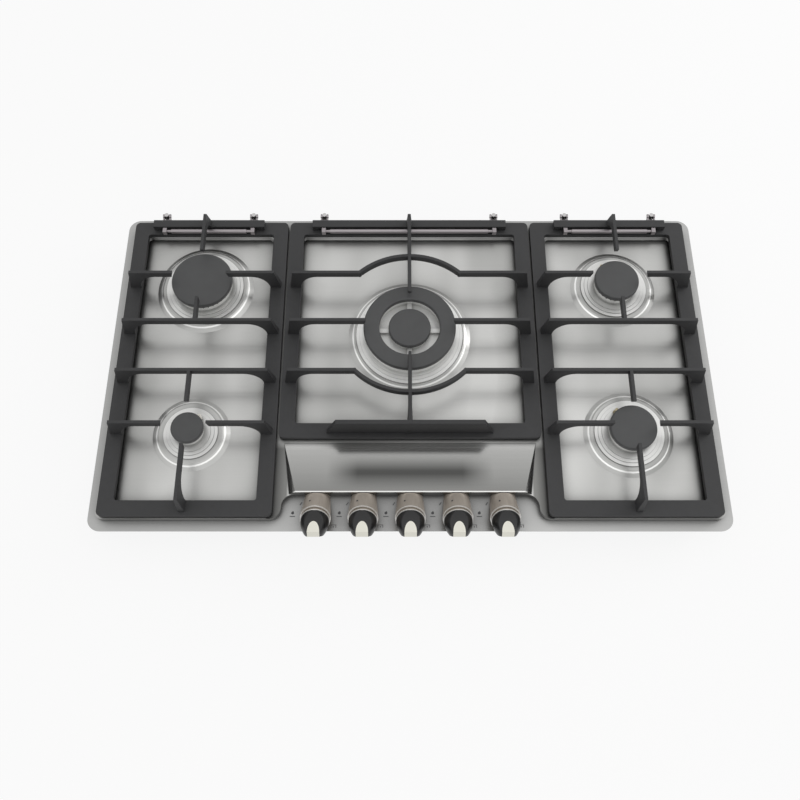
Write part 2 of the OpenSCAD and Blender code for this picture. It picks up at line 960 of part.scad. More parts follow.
// Section of a cap between two radii, with rounded upper edges
module cap_section(r0, r1, low, soft_in) {
    top = low + cap_h;
    r = cap_round;
    translate([r0 + (soft_in ? r : 0), top - r])
        square([r1 - r0 - r - (soft_in ? r : 0), r]);
    translate([r0, low])
        square([r1 - r0, cap_h - r]);
    for (x = soft_in ? [r0 + r, r1 - r] : [r1 - r])
        intersection() {
            translate([x, top - r])
                circle(r = r);
            translate([r0, low])
                square([r1 - r0, cap_h]);
        }
}

module burner_cap(i) {
    color("#454546")
        placed()
            at_burner(i) {
                rotate_extrude()
                    cap_section(0, cap_r(i), crown_top(i), false);
                rib_ring(crown_r(i) - crown_wall - skirt_gap, crown_top(i));
            }
}

// The low rib under a cap that finds its place inside the crown
module rib_ring(r, top) {
    difference() {
        drum(r, top - cap_rib, top + cut);
        drum(r - cap_rib_t, top - cap_rib - cut, top + 2 * cut);
    }
}

module cap_ring() {
    top = crown_top(triple);
    gap_r = triple_open_d / 2 + triple_gap;
    color("#454546")
        placed()
            at_burner(triple) {
                rotate_extrude()
                    cap_section(triple_open_d / 2, cap_r(triple), top, true);
                rib_ring(gap_r + crown_wall + cap_rib_t + skirt_gap, top);
            }
}

module cap_inner() {
    top = mound_top + cup_rise + crown_h;
    color("#454546")
        placed()
            at_burner(triple) {
                rotate_extrude()
                    cap_section(0, triple_inner_d / 2, top, false);
                rib_ring(triple_inner_d / 2 - cap_over - crown_wall - skirt_gap, top);
            }
}

// Knobs
module knob_bezels() {
    color("#a89e94")
        placed()
            for (k = [0 : knob_count - 1])
                difference() {
                    intersection() {
                        on_knob(k)
                            translate([0, 0, -bezel_len])
                                cylinder(r1 = bezel_taper_share * ring_r, r2 = ring_r, h = bezel_len);
                        translate([knob_x(k) - ring_d, -half_d - ring_d, 0])
                            cube([2 * ring_d, strip_depth + ring_d, 2 * ring_d]);
                    }
                    on_knob(k) {
                        drum(bezel_bore_r, -bezel_len - cut, cut);
                        drum(skirt_r + skirt_gap, -recess_back, cut);
                        drum(ring_r + cut, -trim_t, cut);
                    }
                }
}

module bezel_rings() {
    color("#e6e6e6")
        placed()
            for (k = [0 : knob_count - 1])
                on_knob(k)
                    difference() {
                        drum(ring_r, -trim_t, 0);
                        drum(ring_r - trim_w, -trim_t - cut, cut);
                    }
}

module valve_stem(k) {
    color("#9fa2a4")
        placed()
            on_knob(k)
                difference() {
                    union() {
                        drum(stem_r, -stem_in, stem_out);
                        drum(collar_r, -collar_z, collar_t - collar_z);
                    }
                    translate([-stem_r - cut, flat_set, -flat_back])
                        cube([2 * (stem_r + cut), stem_r, flat_back + stem_out + cut]);
                }
}

// Half of a knob's plan section, from its base ring to its nose, grown by o
function knob_radius(s, o) = nose_r + o + (knob_r - nose_r) * shrink(s, plan_power_share, plan_round_share);
function nose_height(s, tip) = tip + (knob_r - tip) * shrink(s, side_power_share, side_round_share);
function along(s) = skirt_front + trim_t + s * (knob_len - skirt_front - trim_t);

module knob_form(o) {
    steps = [for (n = [0 : curve_steps]) n / curve_steps];
    intersection() {
        rotate_extrude()
            polygon(concat(
                [[0, skirt_front]],
                [[knob_r + o, skirt_front]],
                [for (s = steps) [knob_radius(s, o), along(s)]],
                [[nose_r + o, knob_len + o], [0, knob_len + o]]));
        rotate([90, 0, 90])
            linear_extrude(2 * (knob_r + cut), center = true)
                polygon(concat(
                    [[-knob_r - o, skirt_front], [knob_r + o, skirt_front]],
                    [for (s = steps) [nose_height(s, nose_up) + o, along(s)]],
                    [[nose_up + o, knob_len + o], [-nose_low, knob_len + o]],
                    [for (n = [0 : curve_steps])
                        let (s = 1 - n / curve_steps)
                        [-nose_height(s, nose_low), along(s)]]));
    }
}

// The inlay's space: a round-ended strip along the nose's top, running over its end
module insert_space(o) {
    steps = [for (n = [0 : curve_steps]) n / curve_steps];
    intersection() {
        rotate([-90, 0, 0])
            linear_extrude(4 * knob_r, center = true)
                polygon(concat(
                    [for (n = [0 : 2 * curve_steps])
                        let (a = n * 90 / curve_steps)
                        [(insert_half + o) * cos(a), -knob_len + (insert_len + o) * sin(a)]],
                    [[-insert_half - o, -knob_len - cut], [insert_half + o, -knob_len - cut]]));
        rotate([90, 0, 90])
            linear_extrude(2 * knob_r, center = true)
                polygon(concat(
                    [[knob_r + cut, 0]],
                    [[nose_height(0, nose_up) - insert_depth - o, along(0)]],
                    [for (s = steps) if (along(s) < knob_len - insert_depth && s > 0)
                        [nose_height(s, nose_up) - insert_depth - o, along(s)]],
                    [[nose_up - insert_depth / 2 - o, knob_len - insert_depth - o]],
                    [[-nose_low - cut, knob_len - insert_depth - o]],
                    [[-nose_low - cut, knob_len + cut], [knob_r + cut, knob_len + cut]]));
    }
}

module knob(k) {
    color("#2a2a2b")
        placed()
            on_knob(k)
                difference() {
                    union() {
                        knob_form(0);
                        drum(skirt_r, -skirt_back, skirt_front + cut);
                        drum(knob_r + trim_proud, skirt_front, skirt_front + trim_t);
                    }
                    insert_space(run_fit);
                    difference() {
                        drum(stem_r + run_fit, -skirt_back - cut, stem_out + push_travel + fit);
                        translate([-stem_r - cut, flat_set + run_fit, -skirt_back - 2 * cut])
                            cube([2 * (stem_r + cut), stem_r, skirt_back + stem_out + push_travel + 4 * cut]);
                    }
                }
}

module knob_insert(k) {
    color("#f4f2e4")
        placed()
            on_knob(k)
                intersection() {
                    knob_form(insert_proud);
                    insert_space(0);
                }
}

// Grates
// A leg is its rail's width, its outer lean at the foot and at the top, and the height of the rail's top
side_leg = [rail_w, leg_lean, top_lean, rail_top];
rear_leg = [rear_bar_w, rear_bar_lean, rear_top_lean, rear_bar_top];
tip_end = [0];
joined_end = [];

function arch_dx(s) = arch_run * (1 - cos(90 * s));
function arch_z(leg, s) = leg[3] + (bar_low - leg[3]) * sin(90 * s);
// Outline of one end of a bar, from its top down and inwards along its underside
function end_points(leg, at, way) =
    len(leg) == 0 ? [[at, bar_top], [at, bar_low]] :
    len(leg) == 1 ? [[at, bar_top], [at + way * tip_back, bar_low]] :
    concat(
        [[at + way * leg[2], bar_top]],
        [[at + way * leg[1], leg[3] - leg_sink], [at + way * leg[0], leg[3] - leg_sink]],
        [for (n = [0 : arch_steps])
            [at + way * (leg[0] + arch_dx(n / arch_steps)), arch_z(leg, n / arch_steps)]]);
function bar_low_share() = (bar_low - rail_top + leg_sink) / (bar_top - rail_top + leg_sink);
function bar_low_t() = leg_t - (leg_t - bar_top_t) * bar_low_share();
function reversed(list) = [for (n = [len(list) - 1 : -1 : 0]) list[n]];
function bar_outline(a, b, leg_a, leg_b) =
    concat(end_points(leg_b, b, -1), reversed(end_points(leg_a, a, 1)));

// Section of a bar, wide at its foot and narrow along its top
module bar_section() {
    polygon([
        [-leg_t / 2, rail_top - leg_sink],
        [leg_t / 2, rail_top - leg_sink],
        [bar_top_t / 2, bar_top],
        [-bar_top_t / 2, bar_top]
    ]);
}

// A bar along X from a to b at depth y
module bar_x(a, b, y, leg_a, leg_b) {
    intersection() {
        translate([a, y, 0])
            rotate([90, 0, 90])
                linear_extrude(b - a)
                    bar_section();
        translate([0, y, 0])
            rotate([90, 0, 0])
                linear_extrude(leg_t + cut, center = true)
                    polygon(bar_outline(a, b, leg_a, leg_b));
    }
}

// A bar along Y from a to b at x
module bar_y_at(a, b, x, leg_a, leg_b) {
    translate([x, 0, 0])
        rotate(90)
            bar_x(a, b, 0, leg_a, leg_b);
}

module rail_frame(x0, x1, y0, y1) {
    translate([(x0 + x1) / 2, (y0 + y1) / 2, rail_low])
        linear_extrude(rail_t)
            difference() {
                rounded_rect(x1 - x0, y1 - y0, frame_corner);
                rounded_rect(x1 - x0 - 2 * rail_w, y1 - y0 - 2 * rail_w, window_corner);
            }
}

// The raised rear bar on its blocks, centred on x
module rear_bar(x, half) {
    translate([x - half, rear_bar_front, rear_bar_low])
        cube([2 * half, rear_bar_w, rear_bar_t]);
    for (p = [-half, -bar_block / 2, half - bar_block])
        translate([x + p, rear_bar_front, rail_top - leg_sink])
            cube([bar_block, rear_bar_w, rear_bar_low + cut - rail_top + leg_sink]);
}

function foot_places(kind) =
    kind == 0
    ? [for (x = [side_in + foot_set_in, side_out - foot_set_out],
            y = [grate_front + foot_set_front, grate_rear - foot_set_rear]) [x, y]]
    : [for (x = [foot_set_mid - mid_half, mid_half - foot_set_mid],
            y = [mid_front_y + foot_set_front, grate_rear - foot_set_rear]) [x, y]];

module foot_plugs(kind, r, h) {
    for (p = foot_places(kind))
        translate([p[0], p[1], 0])
            drum(r, rail_low - foot_h, rail_low + h);
}

module side_grate() {
    color("#3a3a3b")
        placed()
            difference() {
                union() {
                    rail_frame(side_in, side_out, grate_front, grate_rear);
                    rear_bar(burner_x, side_bar_half);
                    bar_x(side_in, burner_x - rear_tip, bar_y[0], side_leg, tip_end);
                    bar_x(burner_x + rear_tip, side_out, bar_y[0], tip_end, side_leg);
                    bar_x(side_in, side_out, bar_y[1], side_leg, side_leg);
                    bar_x(side_in, side_out, bar_y[2], side_leg, side_leg);
                    bar_x(side_in, burner_x - front_tip, bar_y[3], side_leg, tip_end);
                    bar_x(burner_x + front_tip, side_out, bar_y[3], tip_end, side_leg);
                    bar_y_at(rear_y + rear_tip, rear_bar_back, burner_x, tip_end, rear_leg);
                    bar_y_at(bar_y[1], rear_y - rear_tip, burner_x, joined_end, tip_end);
                    bar_y_at(front_tip - front_y, bar_y[2], burner_x, tip_end, joined_end);
                    bar_y_at(grate_front, -front_y - front_tip, burner_x, side_leg, tip_end);
                }
                foot_plugs(0, foot_plug_r + fit, foot_plug_h + fit);
            }
}

// The two curved bars of the centre grate, parts of one ring round the triple burner
module ring_arcs() {
    span = ring_bar_r + leg_t;
    difference() {
        translate([0, mid_y, 0])
            rotate_extrude()
                polygon([
                    [ring_bar_r - bar_low_t() / 2, bar_low],
                    [ring_bar_r + bar_low_t() / 2, bar_low],
                    [ring_bar_r + bar_top_t / 2, bar_top],
                    [ring_bar_r - bar_top_t / 2, bar_top]
                ]);
        translate([-span, bar_y[2], bar_low - cut])
            cube([2 * span, bar_y[0] - bar_y[2], bar_depth + 2 * cut]);
    }
}

// The rounded corner where a straight bar meets an arc
module knuckle(x, y) {
    translate([x, y, bar_low])
        cylinder(r1 = bar_low_t() / 2 + knuckle_extra, r2 = bar_top_t / 2 + knuckle_extra, h = bar_depth);
}

module centre_grate() {
    bend_a = sqrt(pow(ring_bar_r, 2) - pow(bar_y[0] - mid_y, 2));
    bend_b = sqrt(pow(ring_bar_r, 2) - pow(bar_y[2] - mid_y, 2));
    color("#3a3a3b")
        placed()
            difference() {
                union() {
                    rail_frame(-mid_half, mid_half, mid_front_y, grate_rear);
                    rear_bar(0, mid_bar_half);
                    for (x = [0, 1])
                        mirror([x, 0, 0]) {
                            bar_x(bend_a, mid_half, bar_y[0], joined_end, side_leg);
                            bar_x(mid_tip_x, mid_half, bar_y[1], tip_end, side_leg);
                            bar_x(bend_b, mid_half, bar_y[2], joined_end, side_leg);
                        }
                    ring_arcs();
                    for (x = [-1, 1]) {
                        knuckle(x * bend_a, bar_y[0]);
                        knuckle(x * bend_b, bar_y[2]);
                    }
                    bar_y_at(mid_y + mid_tip_y, rear_bar_back, 0, tip_end, rear_leg);
                    bar_y_at(mid_front_y, mid_y - mid_tip_y, 0, side_leg, tip_end);
                    front_plate();
                }
                foot_plugs(1, foot_plug_r + fit, foot_plug_h + fit);
            }
}

// The upright plate along the centre grate's front rail
module front_plate() {
    translate([0, bar_y[3] + plate_bar_t / 2, 0])
        rotate([90, 0, 0])
            linear_extrude(plate_bar_t)
                polygon([
                    [-plate_bar_foot, rail_top - leg_sink],
                    [plate_bar_foot, rail_top - leg_sink],
                    [plate_bar_half, bar_top],
                    [-plate_bar_half, bar_top]
                ]);
}

module grate_feet(kind) {
    color("#202020")
        placed() {
            for (p = foot_places(kind))
                translate([p[0], p[1], 0])
                    drum(foot_r, rail_low - foot_h, rail_low);
            foot_plugs(kind, foot_plug_r, foot_plug_h);
        }
}

// Hinges
// One chrome arm at x, from its block on the rod back to the fork round the post
module hinge_arm(x) {
    fork = post_y - slot_end;
    cheek = post_d / 2 + air;
    translate([x - arm_w / 2, rod_y - arm_block / 2 - air, arm_low])
        cube([arm_w, arm_block, arm_block_top - arm_low]);
    translate([x - arm_w / 2, rod_y, arm_low])
        cube([arm_w, fork - rod_y, arm_top - arm_low]);
    translate([x - cheek - cheek_t, fork - air - 3 * cut, arm_low])
        cube([2 * (cheek + cheek_t), air + 3 * cut, arm_top - arm_low]);
    for (p = [-cheek - cheek_t, cheek])
        difference() {
            union() {
                translate([x + p, fork - cut, arm_low])
                    cube([cheek_t, slot_end + cut, arm_top - arm_low]);
                translate([x + p, post_y, pivot_z])
                    rotate([0, 90, 0])
                        cylinder(r = eye_r, h = cheek_t);
            }
            translate([x + p - cut, post_y, pivot_z])
                rotate([0, 90, 0])
                    cylinder(r = pin_d / 2 + run_fit, h = cheek_t + 2 * cut);
        }
}

module hinge_rod(x, arm) {
    main = arm - arm_w / 2 - rod_thin_len;
    color("#b8bab9")
        placed() {
            translate([x - main, rod_y, rod_z])
                rotate([0, 90, 0])
                    cylinder(r = rod_d / 2, h = 2 * main);
            translate([x - arm, rod_y, rod_z])
                rotate([0, 90, 0])
                    cylinder(r = rod_thin_r, h = 2 * arm);
            for (s = [-1, 1])
                hinge_arm(x + s * arm);
        }
}

function post_places() = [
    for (s = [-1, 1]) -burner_x + s * side_arm,
    for (s = [-1, 1]) s * mid_arm,
    for (s = [-1, 1]) burner_x + s * side_arm
];

module hinge_posts() {
    pin_half = post_d / 2 + air + cheek_t + pin_out;
    color("#d8d9da")
        placed()
            for (x = post_places())
                translate([x, post_y, 0]) {
                    drum(post_d / 2, 0, post_top);
                    drum(post_base_r, 0, post_base_h);
                    translate([-pin_half, 0, pivot_z])
                        rotate([0, 90, 0])
                            cylinder(r = pin_d / 2, h = 2 * pin_half);
                }
}

module hinge_bushes() {
    color("#1d1d1e")
        placed()
            for (x = post_places())
                translate([x, post_y, 0])
                    difference() {
                        drum(bush_r, bush_low, bush_top);
                        drum(post_d / 2 + run_fit, bush_low - cut, bush_top + cut);
                    }
}

top_plate();
burner_box();
worktop_seal();
worktop_clamps();
clamp_screws();
stud_nuts();
gas_rail();
gas_inlet();
gas_pipes();
injectors();
ignition_unit();
terminal_box();
electrodes();
flame_sensors();
gas_valves();
burner_screws();
knob_bezels();
bezel_rings();
for (k = [0 : knob_count - 1]) {
    valve_stem(k);
    knob(k);
    knob_insert(k);
}
burner_cup(0);  // cup_rear_left
burner_cup(1);  // cup_front_left
burner_cup(2);  // cup_centre
burner_cup(3);  // cup_rear_right
burner_cup(4);  // cup_front_right
crown_single(0);  // crown_rear_left
crown_single(1);  // crown_front_left
crown_triple();  // crown_centre
crown_single(3);  // crown_rear_right
crown_single(4);  // crown_front_right
burner_cap(0);  // cap_rear_left
burner_cap(1);  // cap_front_left
cap_ring();  // cap_centre_ring
cap_inner();  // cap_centre_inner
burner_cap(3);  // cap_rear_right
burner_cap(4);  // cap_front_right
mirror([1, 0, 0]) side_grate();  // grate_left
centre_grate();  // grate_centre
side_grate();  // grate_right
mirror([1, 0, 0]) grate_feet(0);  // feet_left
grate_feet(1);  // feet_centre
grate_feet(0);  // feet_right
hinge_rod(-burner_x, side_arm);  // hinge_rod_left
hinge_rod(0, mid_arm);  // hinge_rod_centre
hinge_rod(burner_x, side_arm);  // hinge_rod_right
hinge_posts();
hinge_bushes();
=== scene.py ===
import bpy
import bmesh
import math
from mathutils import Matrix, Vector


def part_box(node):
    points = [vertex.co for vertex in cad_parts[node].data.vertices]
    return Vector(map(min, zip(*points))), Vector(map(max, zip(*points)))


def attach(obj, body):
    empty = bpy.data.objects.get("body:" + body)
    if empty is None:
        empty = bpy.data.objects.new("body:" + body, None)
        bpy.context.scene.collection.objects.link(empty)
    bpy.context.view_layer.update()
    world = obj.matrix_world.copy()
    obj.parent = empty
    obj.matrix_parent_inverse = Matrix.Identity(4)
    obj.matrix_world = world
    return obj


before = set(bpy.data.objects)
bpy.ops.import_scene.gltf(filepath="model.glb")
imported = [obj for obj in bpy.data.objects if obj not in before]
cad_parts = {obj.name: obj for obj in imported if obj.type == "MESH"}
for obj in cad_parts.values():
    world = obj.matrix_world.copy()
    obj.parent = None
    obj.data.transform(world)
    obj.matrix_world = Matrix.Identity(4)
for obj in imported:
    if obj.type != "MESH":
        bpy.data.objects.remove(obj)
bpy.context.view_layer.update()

# Places from the frame, in metres
PLATE_LOW, PLATE_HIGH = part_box("top_plate")
SEAL_LOW, SEAL_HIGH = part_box("worktop_seal")
SHEET = 0.001
FLANGE_Z = SEAL_HIGH.z + SHEET
HOB_Y = (PLATE_LOW.y + PLATE_HIGH.y) / 2
KNOB_TILT = math.radians(35)
KNOB_AXIS = Vector((0, -math.cos(KNOB_TILT), math.sin(KNOB_TILT)))
KNOB_UP = Vector((0, math.sin(KNOB_TILT), math.cos(KNOB_TILT)))


def hob(x, y, z):
    """A place given in millimetres from the plate's middle and the flange's top."""
    return Vector((x / 1000, HOB_Y + y / 1000, FLANGE_Z + z / 1000))


# Camera
CAMERA_AT = hob(-14.3, -532, 1143.4)
CAMERA_PITCH = math.radians(67.5)
CAMERA_LENS = 37.75
camera_data = bpy.data.cameras.new("camera")
camera_data.lens = CAMERA_LENS
camera_data.sensor_width = 36
camera_data.clip_end = 50
camera = bpy.data.objects.new("camera", camera_data)
camera.location = CAMERA_AT
camera.rotation_euler = (math.pi / 2 - CAMERA_PITCH, 0, 0)
bpy.context.scene.collection.objects.link(camera)
bpy.context.scene.camera = camera
bpy.context.scene.view_settings.view_transform = "Standard"


# Material tools
class Nodes:
    """A short way to build a material's node tree."""

    def __init__(self, name):
        self.material = bpy.data.materials.new(name)
        self.material.use_nodes = True
        self.tree = self.material.node_tree
        self.tree.nodes.clear()
        self.output = self.tree.nodes.new("ShaderNodeOutputMaterial")

    def add(self, kind, **values):
        node = self.tree.nodes.new("ShaderNode" + kind)
        for key, value in values.items():
            if hasattr(node, key):
                setattr(node, key, value)
            else:
                self.feed(node, key.replace("_", " "), value)
        return node

    def feed(self, node, name, value):
        socket = node.inputs[int(name)] if name.isdigit() else node.inputs[name]
        if hasattr(value, "is_output"):
            self.tree.links.new(value, socket)
        else:
            socket.default_value = value

    def place(self):
        return self.add("TexCoord").outputs["Object"]

    def scaled(self, vector, scale):
        node = self.add("Mapping")
        self.feed(node, "Vector", vector)
        node.inputs["Scale"].default_value = scale
        return node.outputs["Vector"]

    def noise(self, vector, scale, detail=2.0, roughness=0.5):
        node = self.add("TexNoise", Scale=scale, Detail=detail, Roughness=roughness)
        self.feed(node, "Vector", vector)
        return node.outputs["Fac"]

    def math(self, operation, a, b=0.0, clamp=False):
        node = self.add("Math", operation=operation, use_clamp=clamp)
        self.feed(node, "0", a)
        self.feed(node, "1", b)
        return node.outputs[0]

    def ramp(self, value, low, high, to_low=0.0, to_high=1.0):
        node = self.add("MapRange", clamp=True)
        self.feed(node, "Value", value)
        node.inputs["From Min"].default_value = low
        node.inputs["From Max"].default_value = high
        node.inputs["To Min"].default_value = to_low
        node.inputs["To Max"].default_value = to_high
        return node.outputs["Result"]

    def mix(self, factor, a, b):
        node = self.tree.nodes.new("ShaderNodeMix")
        node.data_type = "RGBA"
        self.feed(node, "0", factor)
        for index, value in ((6, a), (7, b)):
            if hasattr(value, "is_output"):
                self.tree.links.new(value, node.inputs[index])
            else:
                node.inputs[index].default_value = (*value[:3], 1)
        return node.outputs[2]

    def bump(self, height, strength, distance):
        node = self.add("Bump", Strength=strength, Distance=distance)
        self.feed(node, "Height", height)
        return node.outputs["Normal"]

    def surface(self, color, metallic=0.0, roughness=0.5, normal=None, **extra):
        shader = self.tree.nodes.new("ShaderNodeBsdfPrincipled")
        if hasattr(color, "is_output"):
            self.tree.links.new(color, shader.inputs["Base Color"])
        else:
            shader.inputs["Base Color"].default_value = (*color[:3], 1)
        shader.inputs["Metallic"].default_value = metallic
        self.feed(shader, "Roughness", roughness)
        if normal is not None:
            self.tree.links.new(normal, shader.inputs["Normal"])
        for key, value in extra.items():
            shader.inputs[key.replace("_", " ")].default_value = value
        self.tree.links.new(shader.outputs[0], self.output.inputs["Surface"])
        return self.material


def linear(code):
    """A hex colour as linear red, green and blue."""
    parts = [int(code[i:i + 2], 16) / 255 for i in (0, 2, 4)]
    return [p / 12.92 if p <= 0.04045 else ((p + 0.055) / 1.055) ** 2.4 for p in parts]


def between(n, value, low, high, soft):
    """One where value lies between low and high, with soft edges."""
    rise = n.ramp(value, low - soft, low + soft)
    fall = n.ramp(value, high - soft, high + soft, 1, 0)
    return n.math("MULTIPLY", rise, fall)


# Materials
RIDGE_Y = HOB_Y - 0.204
WEDGE_DEPTH = 0.076
WEDGE_HALF = 0.184
DECK_TOP = 0.0102
# Where the painted reflection of the centre grate lies across the wedge
REFLECTION_FRONT = -0.189
REFLECTION_BACK = -0.160
REFLECTION_SOFT = 0.012
THIN = 0.0001


def brushed_plate():
    """Stainless sheet brushed along X: a pale deck, a greyer flange and strip, a wedge darkened by painted
    reflection, painted highlights on the step and ridge edges, and painted shade under the bars.
    """
    n = Nodes("brushed_stainless")
    at = n.place()
    split = n.add("SeparateXYZ")
    n.feed(split, "Vector", at)
    x, y, z = split.outputs
    grain = n.noise(n.scaled(at, (6, 900, 900)), 1.0, 4, 0.6)
    cloud = n.noise(n.scaled(at, (14.0, 4.0, 4.0)), 1.0, 1, 0.4)
    deck = n.mix(n.ramp(cloud, 0.3, 0.7), linear("a6a6a4"), linear("c6c6c4"))
    low_part = n.ramp(z, FLANGE_Z + 0.0022, FLANGE_Z + 0.0045, 1, 0)
    color = n.mix(low_part, deck, linear("aeaead"))

    # The wedge: painted reflection makes it dark like a mirror, with a painted reflection of the centre grate's front
    # plate darkest across its middle
    wide = n.math("ABSOLUTE", x)
    over = n.ramp(z, FLANGE_Z + DECK_TOP, FLANGE_Z + DECK_TOP + 0.001)
    front = n.ramp(y, RIDGE_Y + WEDGE_DEPTH - 0.002, RIDGE_Y + WEDGE_DEPTH, 1, 0)
    side = n.ramp(wide, WEDGE_HALF - 0.001, WEDGE_HALF + 0.001, 1, 0)
    on_wedge = n.math("MULTIPLY", n.math("MULTIPLY", over, front), side)
    wedge_reflection_tone = n.mix(n.ramp(y, RIDGE_Y, RIDGE_Y + 0.078), linear("868684"), linear("b4b4b2"))
    reflection_band = between(n, y, HOB_Y + REFLECTION_FRONT, HOB_Y + REFLECTION_BACK, REFLECTION_SOFT)
    painted_grate_reflection = n.math("MULTIPLY", reflection_band, n.ramp(wide, 0.074, 0.118, 1, 0))
    wedge_reflection_tone = n.mix(n.math("MULTIPLY", painted_grate_reflection, 0.85), wedge_reflection_tone, linear("3c3c3b"))
    color = n.mix(on_wedge, color, wedge_reflection_tone)

    # Painted reflection of the grates' sides darkens the deck beside the wedge; painted highlights on the edges of
    # the step and of the ridge
    near_wedge = n.ramp(y, RIDGE_Y + 0.066, RIDGE_Y + 0.078, 1, 0)
    beside = n.math("MULTIPLY", between(n, wide, 0.172, 0.200, 0.0015), near_wedge)
    at_deck = between(n, z, FLANGE_Z + 0.0088, FLANGE_Z + 0.01015, THIN)
    channel_reflection = n.math("MULTIPLY", beside, at_deck)
    channel_reflection_tone = n.mix(n.ramp(wide, 0.176, 0.196), linear("7c7c7a"), linear("484847"))
    color = n.mix(channel_reflection, color, channel_reflection_tone)
    # Painted highlights: near-white colour on the top edges of the step and the wells and on the wedge's front ridge
    step_edge = between(n, z, FLANGE_Z + 0.0086, FLANGE_Z + 0.00985, THIN)
    rim = n.math("MULTIPLY", step_edge, n.math("SUBTRACT", 1.0, beside))
    fold = between(n, y, RIDGE_Y - 0.004, RIDGE_Y + 0.0016, 2 * THIN)
    ridge = n.math("MULTIPLY", fold, n.ramp(z, FLANGE_Z + 0.014, FLANGE_Z + 0.016))
    color = n.mix(n.math("MAXIMUM", rim, ridge), color, linear("f2f2f0"))

    # Shade under the bars and round the burners
    shelter = n.add("AmbientOcclusion", Distance=0.045)
    sheltered = n.ramp(shelter.outputs["AO"], 0.40, 0.92, 1, 0)
    deep = n.math("MULTIPLY", sheltered, n.math("SUBTRACT", 1.0, on_wedge))
    color = n.mix(n.math("MULTIPLY", deep, 0.8), color, linear("4a4a49"))

    fine = n.math("MULTIPLY", n.math("SUBTRACT", grain, 0.5), 0.10)
    shade = n.math("ADD", 1.0, fine)
    grained = n.add("VectorMath", operation="SCALE")
    n.feed(grained, "0", color)
    n.feed(grained, "Scale", shade)
    roughness = n.math("SUBTRACT", n.ramp(grain, 0.3, 0.7, 0.30, 0.38), n.math("MULTIPLY", on_wedge, 0.15))
    return n.surface(grained.outputs[0], 1.0, roughness, n.bump(grain, 0.08, 0.0002))


def sheet_steel(name, code, roughness):
    n = Nodes(name)
    at = n.place()
    spangle = n.add("TexVoronoi", Scale=90.0)
    n.feed(spangle, "Vector", at)
    tone = n.mix(n.math("MULTIPLY", spangle.outputs["Distance"], 0.5), linear(code),
                 [c * 0.82 for c in linear(code)])
    grain = n.noise(n.scaled(at, (40, 40, 40)), 1.0, 3)
    return n.surface(tone, 1.0, n.ramp(grain, 0.3, 0.7, roughness, roughness + 0.1),
                     n.bump(grain, 0.05, 0.0003))


def turned_metal(name, code, roughness=0.28, streak=0.06, metal=1.0):
    """Machined metal with faint tooling marks."""
    n = Nodes(name)
    at = n.place()
    marks = n.noise(n.scaled(at, (300, 300, 1500)), 1.0, 2)
    color = n.mix(marks, [c * (1 - streak) for c in linear(code)], linear(code))
    return n.surface(color, metal, n.ramp(marks, 0.3, 0.7, roughness, roughness + 0.08),
                     n.bump(marks, 0.05, 0.0001))


def cast_alloy(name, code, metal=0.7, painted_shade="242424"):
    """Pale cast and machined burner alloy, with painted shade where it is sheltered."""
    n = Nodes(name)
    at = n.place()
    grain = n.noise(n.scaled(at, (700, 700, 700)), 1.0, 3, 0.6)
    stain = n.noise(n.scaled(at, (30, 30, 30)), 1.0, 3, 0.6)
    color = n.mix(n.ramp(stain, 0.35, 0.7), linear(code), [c * 0.9 for c in linear(code)])
    # Painted shade: the colour turns to the shade tone where ambient occlusion finds the alloy sheltered, as under
    # the caps
    shelter = n.add("AmbientOcclusion", Distance=0.016)
    color = n.mix(n.ramp(shelter.outputs["AO"], 0.25, 0.75), linear(painted_shade), color)
    return n.surface(color, metal, n.ramp(grain, 0.3, 0.7, 0.30, 0.40), n.bump(grain, 0.12, 0.0002))


def cast_iron():
    """Matt black enamel over cast iron, with a sandy surface and paler worn edges."""
    n = Nodes("enamelled_cast_iron")
    at = n.place()
    sand = n.noise(n.scaled(at, (900, 900, 900)), 1.0, 4, 0.65)
    lumps = n.noise(n.scaled(at, (110, 110, 110)), 1.0, 3, 0.5)
    tone = n.mix(lumps, linear("1e1e1f"), linear("29292a"))
    edges = n.add("NewGeometry").outputs["Pointiness"]
    color = n.mix(n.ramp(edges, 0.52, 0.60, 0, 0.2), tone, linear("4c4c4d"))
    height = n.math("ADD", n.math("MULTIPLY", sand, 0.6), lumps)
    return n.surface(color, 0.0, n.ramp(sand, 0.3, 0.7, 0.52, 0.66), n.bump(height, 0.25, 0.0004))


def cap_enamel():
    """Matt enamel with a slight mottle."""
    n = Nodes("cap_enamel")
    at = n.place()
    speck = n.noise(n.scaled(at, (800, 800, 800)), 1.0, 3, 0.6)
    mottle = n.noise(n.scaled(at, (60, 60, 60)), 1.0, 3, 0.5)
    color = n.mix(mottle, linear("414142"), linear("494a4a"))
    return n.surface(color, 0.0, n.ramp(speck, 0.3, 0.7, 0.42, 0.54), n.bump(speck, 0.15, 0.0002))


def plastic(name, code, roughness, mottle=0.1, fine=600):
    n = Nodes(name)
    at = n.place()
    grain = n.noise(n.scaled(at, (fine, fine, fine)), 1.0, 3, 0.5)
    color = n.mix(grain, [c * (1 - mottle) for c in linear(code)], linear(code))
    return n.surface(color, 0.0, n.ramp(grain, 0.3, 0.7, roughness, roughness + 0.08),
                     n.bump(grain, 0.06, 0.0002))


def bezel_metal():
    """Warm taupe metallic finish with a fine grain round the bezel."""
    n = Nodes("taupe_metal")
    at = n.place()
    grain = n.noise(n.scaled(at, (900, 60, 60)), 1.0, 3, 0.6)
    color = n.mix(grain, linear("b0a69b"), linear("c6bdb2"))
    return n.surface(color, 0.35, n.ramp(grain, 0.3, 0.7, 0.34, 0.42), n.bump(grain, 0.06, 0.0001))


def glaze(name, code):
    n = Nodes(name)
    at = n.place()
    fleck = n.noise(n.scaled(at, (500, 500, 500)), 1.0, 2)
    color = n.mix(fleck, [c * 0.94 for c in linear(code)], linear(code))
    return n.surface(color, 0.0, n.ramp(fleck, 0.3, 0.7, 0.18, 0.26), None, Coat_Weight=0.3)


